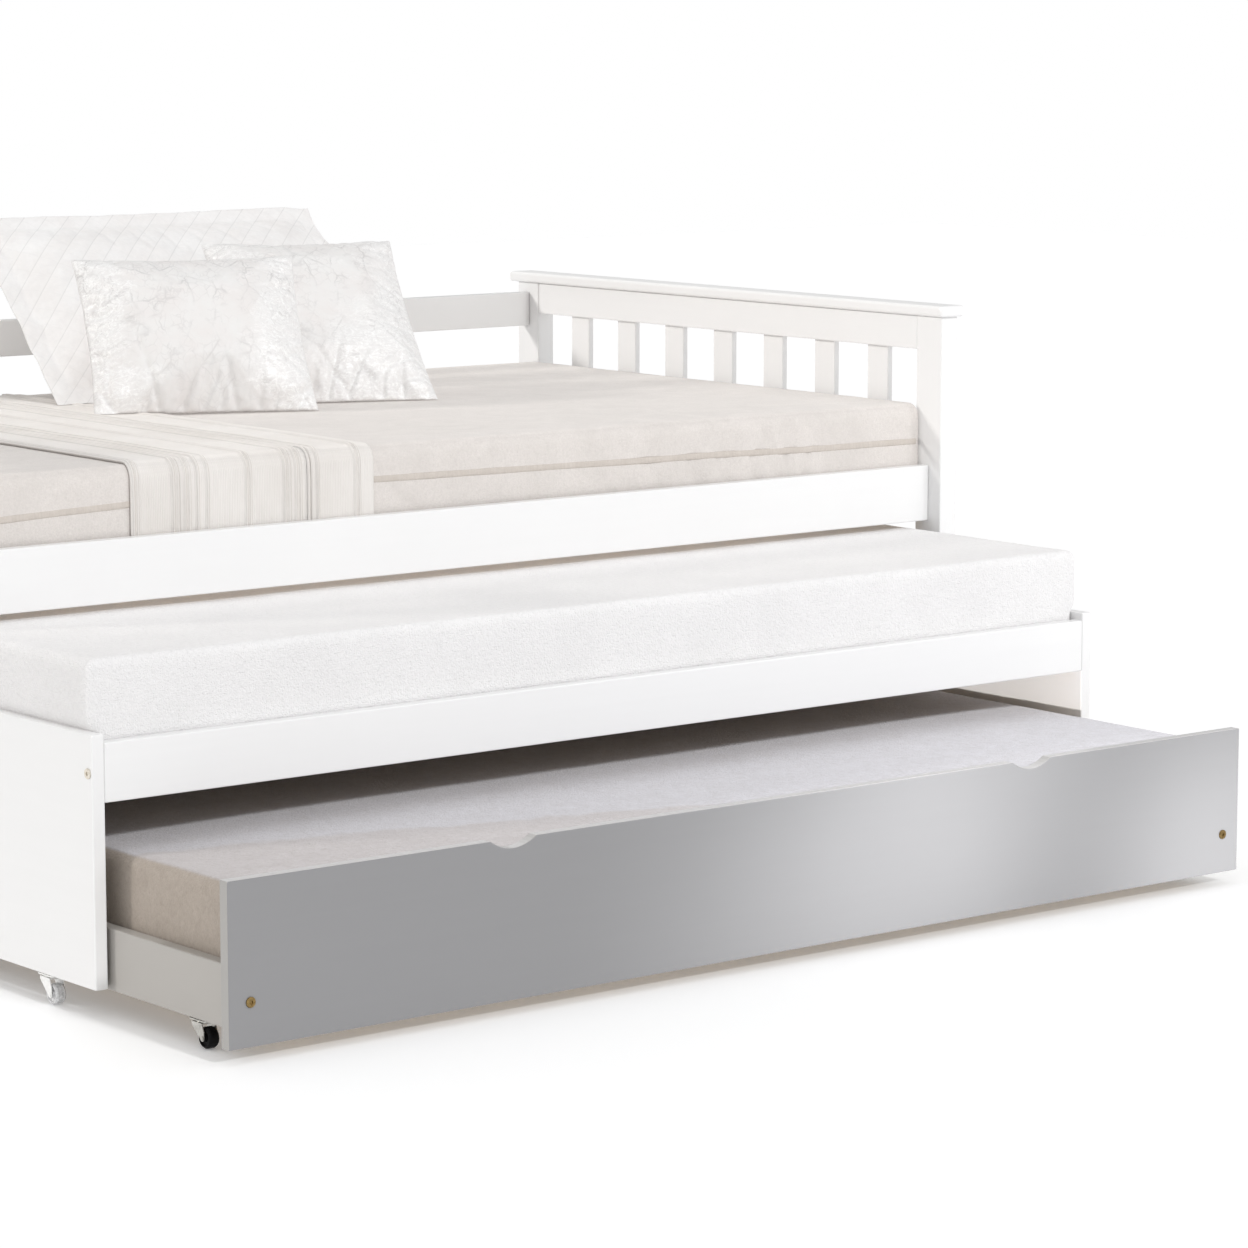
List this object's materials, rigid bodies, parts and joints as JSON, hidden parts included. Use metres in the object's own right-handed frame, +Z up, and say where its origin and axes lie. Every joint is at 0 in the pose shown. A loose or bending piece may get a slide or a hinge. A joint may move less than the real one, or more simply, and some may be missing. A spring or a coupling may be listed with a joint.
{
  "type": "trundle bed",
  "caption": "Slatted white daybed with a trundle bed that rolls out from under it and a lower trundle that rolls out from under that, made up with mattresses, cushions and a throw.",
  "frame": {"origin": "on the floor, under the middle of the bed's outline with both trundles part way out", "axes": "+X along the bed's length, -Y towards the side that the trundles pull out of, +Z up"},
  "size_m": [2, 1.896, 1.0115],
  "materials": {
    "frame_paint": "satin",
    "front_panel_paint": "satin",
    "side_rail_paint": "satin",
    "bare_wood": "matte",
    "velvet_cover": "matte",
    "white_towelling": "matte",
    "beige_fleece": "matte",
    "ribbed_throw": "matte",
    "crackle_foil": "satin",
    "quilted_cotton": "matte",
    "bolt_brass": "satin",
    "caster_zinc": "satin",
    "caster_tread": "satin"
  },
  "bodies": {
    "daybed": {"front_left_post": "frame_paint", "front_right_post": "frame_paint", "back_left_post": "frame_paint", "back_right_post": "frame_paint", "left_cap_rail": "frame_paint", "right_cap_rail": "frame_paint", "left_top_rail": "frame_paint", "right_top_rail": "frame_paint", "left_slat_panel": "frame_paint", "right_slat_panel": "frame_paint", "daybed_front_rail": "frame_paint", "daybed_back_rail": "frame_paint", "guard_rail": "frame_paint", "daybed_base": "bare_wood", "daybed_mattress": "velvet_cover", "throw": "ribbed_throw", "left_cushion": "crackle_foil", "right_cushion": "crackle_foil", "quilted_sham": "quilted_cotton"},
    "middle_trundle": {"middle_left_panel": "frame_paint", "middle_right_panel": "frame_paint", "middle_front_rail": "frame_paint", "middle_back_rail": "frame_paint", "middle_base": "bare_wood", "middle_mattress": "white_towelling", "middle_left_bolt": "bolt_brass", "middle_right_bolt": "bolt_brass", "middle_front_left_plate": "caster_zinc", "middle_front_right_plate": "caster_zinc", "middle_back_left_plate": "caster_zinc", "middle_back_right_plate": "caster_zinc"},
    "lower_trundle": {"lower_front_panel": "front_panel_paint", "lower_left_rail": "side_rail_paint", "lower_right_rail": "side_rail_paint", "lower_back_rail": "side_rail_paint", "lower_base": "bare_wood", "lower_mattress": "beige_fleece", "lower_left_bolt": "bolt_brass", "lower_right_bolt": "bolt_brass", "lower_front_left_plate": "caster_zinc", "lower_front_right_plate": "caster_zinc", "lower_back_left_plate": "caster_zinc", "lower_back_right_plate": "caster_zinc"},
    "middle_front_left_fork": {"middle_front_left_fork": "caster_zinc"},
    "middle_front_left_wheel": {"middle_front_left_wheel": "caster_tread"},
    "middle_front_right_fork": {"middle_front_right_fork": "caster_zinc"},
    "middle_front_right_wheel": {"middle_front_right_wheel": "caster_tread"},
    "middle_back_left_fork": {"middle_back_left_fork": "caster_zinc"},
    "middle_back_left_wheel": {"middle_back_left_wheel": "caster_tread"},
    "middle_back_right_fork": {"middle_back_right_fork": "caster_zinc"},
    "middle_back_right_wheel": {"middle_back_right_wheel": "caster_tread"},
    "lower_front_left_fork": {"lower_front_left_fork": "caster_zinc"},
    "lower_front_left_wheel": {"lower_front_left_wheel": "caster_tread"},
    "lower_front_right_fork": {"lower_front_right_fork": "caster_zinc"},
    "lower_front_right_wheel": {"lower_front_right_wheel": "caster_tread"},
    "lower_back_left_fork": {"lower_back_left_fork": "caster_zinc"},
    "lower_back_left_wheel": {"lower_back_left_wheel": "caster_tread"},
    "lower_back_right_fork": {"lower_back_right_fork": "caster_zinc"},
    "lower_back_right_wheel": {"lower_back_right_wheel": "caster_tread"}
  },
  "joints": [
    {"name": "middle_slide", "type": "slide", "parent": "daybed", "child": "middle_trundle", "axis": [0, -1, 0], "range_m": [-0.402, 0.65]},
    {"name": "lower_slide", "type": "slide", "parent": "middle_trundle", "child": "lower_trundle", "axis": [0, -1, 0], "range_m": [-0.3115, 0.75]},
    {"name": "middle_front_left_swivel", "type": "hinge", "parent": "middle_trundle", "child": "middle_front_left_fork", "pos_m": [-0.936, -0.48, 0.03], "axis": [0, 0, 1], "continuous": true},
    {"name": "middle_front_left_roll", "type": "hinge", "parent": "middle_front_left_fork", "child": "middle_front_left_wheel", "pos_m": [-0.936, -0.496, 0.015], "axis": [1, 0, 0], "continuous": true},
    {"name": "middle_front_right_swivel", "type": "hinge", "parent": "middle_trundle", "child": "middle_front_right_fork", "pos_m": [0.936, -0.48, 0.03], "axis": [0, 0, 1], "continuous": true},
    {"name": "middle_front_right_roll", "type": "hinge", "parent": "middle_front_right_fork", "child": "middle_front_right_wheel", "pos_m": [0.936, -0.496, 0.015], "axis": [1, 0, 0], "continuous": true},
    {"name": "middle_back_left_swivel", "type": "hinge", "parent": "middle_trundle", "child": "middle_back_left_fork", "pos_m": [-0.936, 0.42, 0.03], "axis": [0, 0, 1], "continuous": true},
    {"name": "middle_back_left_roll", "type": "hinge", "parent": "middle_back_left_fork", "child": "middle_back_left_wheel", "pos_m": [-0.936, 0.404, 0.015], "axis": [1, 0, 0], "continuous": true},
    {"name": "middle_back_right_swivel", "type": "hinge", "parent": "middle_trundle", "child": "middle_back_right_fork", "pos_m": [0.936, 0.42, 0.03], "axis": [0, 0, 1], "continuous": true},
    {"name": "middle_back_right_roll", "type": "hinge", "parent": "middle_back_right_fork", "child": "middle_back_right_wheel", "pos_m": [0.936, 0.404, 0.015], "axis": [1, 0, 0], "continuous": true},
    {"name": "lower_front_left_swivel", "type": "hinge", "parent": "lower_trundle", "child": "lower_front_left_fork", "pos_m": [-0.91, -0.825, 0.03], "axis": [0, 0, 1], "continuous": true},
    {"name": "lower_front_left_roll", "type": "hinge", "parent": "lower_front_left_fork", "child": "lower_front_left_wheel", "pos_m": [-0.91, -0.841, 0.015], "axis": [1, 0, 0], "continuous": true},
    {"name": "lower_front_right_swivel", "type": "hinge", "parent": "lower_trundle", "child": "lower_front_right_fork", "pos_m": [0.91, -0.825, 0.03], "axis": [0, 0, 1], "continuous": true},
    {"name": "lower_front_right_roll", "type": "hinge", "parent": "lower_front_right_fork", "child": "lower_front_right_wheel", "pos_m": [0.91, -0.841, 0.015], "axis": [1, 0, 0], "continuous": true},
    {"name": "lower_back_left_swivel", "type": "hinge", "parent": "lower_trundle", "child": "lower_back_left_fork", "pos_m": [-0.91, 0.064, 0.03], "axis": [0, 0, 1], "continuous": true},
    {"name": "lower_back_left_roll", "type": "hinge", "parent": "lower_back_left_fork", "child": "lower_back_left_wheel", "pos_m": [-0.91, 0.048, 0.015], "axis": [1, 0, 0], "continuous": true},
    {"name": "lower_back_right_swivel", "type": "hinge", "parent": "lower_trundle", "child": "lower_back_right_fork", "pos_m": [0.91, 0.064, 0.03], "axis": [0, 0, 1], "continuous": true},
    {"name": "lower_back_right_roll", "type": "hinge", "parent": "lower_back_right_fork", "child": "lower_back_right_wheel", "pos_m": [0.91, 0.048, 0.015], "axis": [1, 0, 0], "continuous": true}
  ]
}
